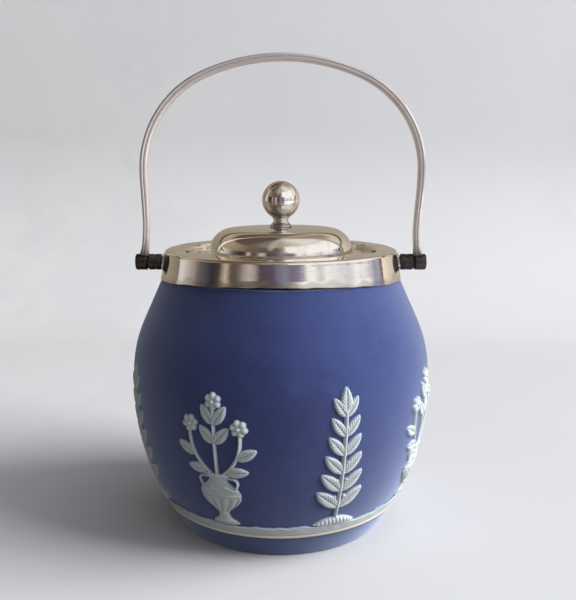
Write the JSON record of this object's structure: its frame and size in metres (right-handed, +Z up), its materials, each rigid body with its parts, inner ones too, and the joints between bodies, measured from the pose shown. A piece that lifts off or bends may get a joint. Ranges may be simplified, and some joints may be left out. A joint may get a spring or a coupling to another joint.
{
  "type": "biscuit jar",
  "caption": "Barrel-shaped stoneware biscuit jar with white relief, plated rim collar, lift-off domed lid with ball knob, and a swinging bail handle.",
  "frame": {"origin": "on the pot's axis, at the plane of the foot ring that it stands on", "axes": "+Z up along the pot's axis; the bail's pivot line runs along X; the front faces -Y"},
  "size_m": [0.1354, 0.1354, 0.2089],
  "materials": {
    "blue_stoneware": "matte",
    "white_relief": "matte",
    "cream_line": "matte",
    "plaster": "matte",
    "silver_plate": "polished",
    "silver_bail": "polished",
    "tarnished_plate": "satin",
    "brass_fixing": "satin"
  },
  "bodies": {
    "jar": {"barrel_pot": "blue_stoneware", "foot_bead": "cream_line", "ground_band": "white_relief", "relief_vases": "white_relief", "relief_laurels": "white_relief", "rim_collar": "silver_plate", "plaster_bed": "plaster", "lid_seat_ring": "silver_plate", "lug_pad_left": "tarnished_plate", "lug_left": "tarnished_plate", "pivot_washer_left": "tarnished_plate", "pivot_pin_left": "tarnished_plate", "lug_pad_right": "tarnished_plate", "lug_right": "tarnished_plate", "pivot_washer_right": "tarnished_plate", "pivot_pin_right": "tarnished_plate"},
    "lid": {"lid_cover": "silver_plate", "lid_locating_ring": "silver_plate", "knob_neck": "silver_plate", "knob_ball": "silver_plate", "knob_washer": "brass_fixing", "knob_nut": "brass_fixing"},
    "bail": {"bail_arch": "silver_bail", "bail_eye_left": "tarnished_plate", "bail_eye_right": "tarnished_plate"}
  },
  "joints": [
    {"name": "bail_swing", "type": "hinge", "parent": "jar", "child": "bail", "pos_m": [0, 0, 0.1177], "axis": [1, 0, 0], "range_deg": [-122, 122]},
    {"name": "lid_lift", "type": "slide", "parent": "jar", "child": "lid", "axis": [0, 0, 1], "range_m": [0, 0.048]}
  ]
}
